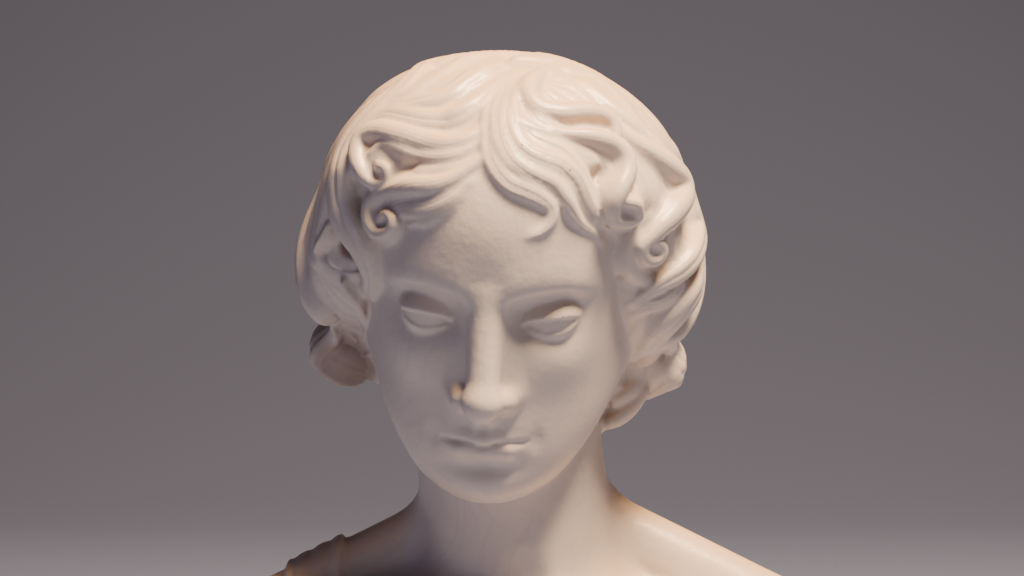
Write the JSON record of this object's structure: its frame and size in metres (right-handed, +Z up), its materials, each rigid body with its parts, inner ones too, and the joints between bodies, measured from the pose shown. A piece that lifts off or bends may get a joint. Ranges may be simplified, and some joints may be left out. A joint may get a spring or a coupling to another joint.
{
  "type": "marble bust",
  "caption": "Life-size marble bust of a young classical figure with bowed head and parted curly hair, cut flat below the chest.",
  "frame": {"origin": "on the flat underside, below the pit of the neck", "axes": "+Z up, the chest faces -Y, the figure's own left is +X"},
  "size_m": [0.356, 0.2333, 0.419],
  "materials": {
    "marble": "satin polished white marble with a warm patina"
  },
  "bodies": {
    "root": {"marble_bust": "marble"}
  },
  "joints": []
}
